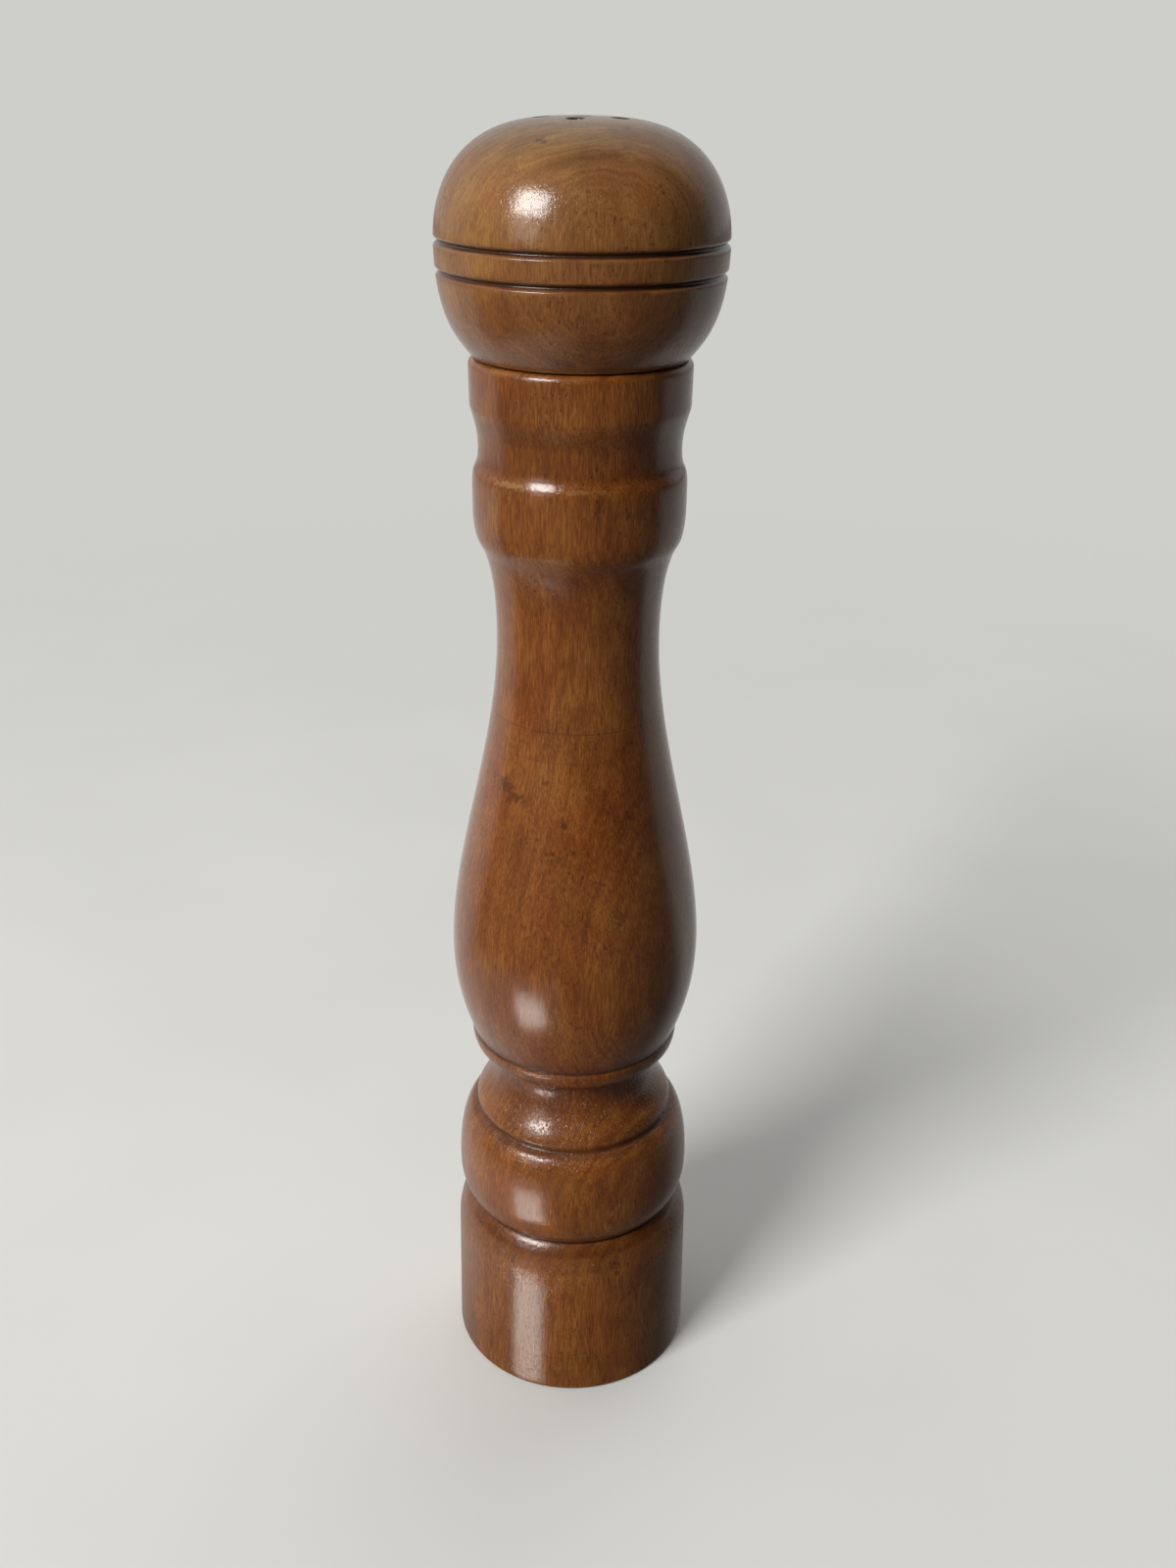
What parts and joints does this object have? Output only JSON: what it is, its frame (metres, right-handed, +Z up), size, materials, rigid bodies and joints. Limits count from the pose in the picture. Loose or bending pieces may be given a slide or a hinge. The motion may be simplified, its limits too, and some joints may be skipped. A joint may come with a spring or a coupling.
{
  "type": "pepper mill",
  "caption": "Tall turned wooden pepper mill whose round head turns a burr mill in the foot, lifts off for filling and is a salt shaker.",
  "frame": {"origin": "Middle of the foot's underside, on the surface that the mill stands on.", "axes": "+Z up along the mill's turning axis, +X to the viewer's right, -Y towards the viewer in the front view."},
  "size_m": [0.06, 0.06, 0.3],
  "materials": {
    "stained_wood": "orange-brown stained hardwood under semi-gloss lacquer, fine upright grain with dark pores",
    "plug_wood": "turned hardwood with a thin oil finish",
    "cast_zinc": "tumbled zinc casting",
    "burr_steel": "hardened dark steel",
    "plated_steel": "bright zinc plated steel",
    "spring_steel": "drawn spring wire",
    "shaft_aluminium": "drawn square bar with fine lengthwise lines",
    "turned_brass": "turned and knurled brass",
    "nylon": "natural nylon",
    "stopper_rubber": "soft black rubber"
  },
  "bodies": {
    "stand": {"mill_body": "stained_wood", "burr_housing": "cast_zinc", "stator_burr": "burr_steel", "bottom_bridge": "plated_steel", "bridge_screw_1": "plated_steel", "bridge_screw_2": "plated_steel"},
    "ring": {"tenon_ring": "nylon"},
    "head": {"head_shell": "stained_wood", "tenon_plug": "plug_wood", "drive_plate": "plated_steel", "plate_screw_1": "plated_steel", "plate_screw_2": "plated_steel", "salt_stopper": "stopper_rubber"},
    "thrust": {"thrust_ball": "plated_steel", "spring_washer": "plated_steel", "grind_spring": "spring_steel"},
    "shaft": {"drive_shaft": "shaft_aluminium", "rotor_burr": "burr_steel", "rotor_pin": "plated_steel"},
    "adjuster": {"thumb_screw": "turned_brass"}
  },
  "joints": [
    {"name": "head_lift", "type": "slide", "parent": "stand", "child": "ring", "axis": [0, 0, 1], "range_m": [0, 0.045]},
    {"name": "mill_turn", "type": "hinge", "parent": "ring", "child": "head", "pos_m": [0, 0, 0.25], "axis": [0, 0, 1], "continuous": true},
    {"name": "grind_lift", "type": "slide", "parent": "stand", "child": "thrust", "axis": [0, 0, 1], "range_m": [-0.0008, 0.0008], "deforming": ["grind_spring"]},
    {"name": "shaft_turn", "type": "hinge", "parent": "thrust", "child": "shaft", "pos_m": [0, 0, 0.03], "axis": [0, 0, 1], "continuous": true},
    {"name": "adjuster_turn", "type": "hinge", "parent": "thrust", "child": "adjuster", "pos_m": [0, 0, 0.01], "axis": [0, 0, 1], "range_deg": [-360, 360]}
  ],
  "couplings": [
    {"joint": "shaft_turn", "follows": "mill_turn", "ratio": 1},
    {"joint": "adjuster_turn", "follows": "grind_lift", "rad_per_m": 7854}
  ]
}
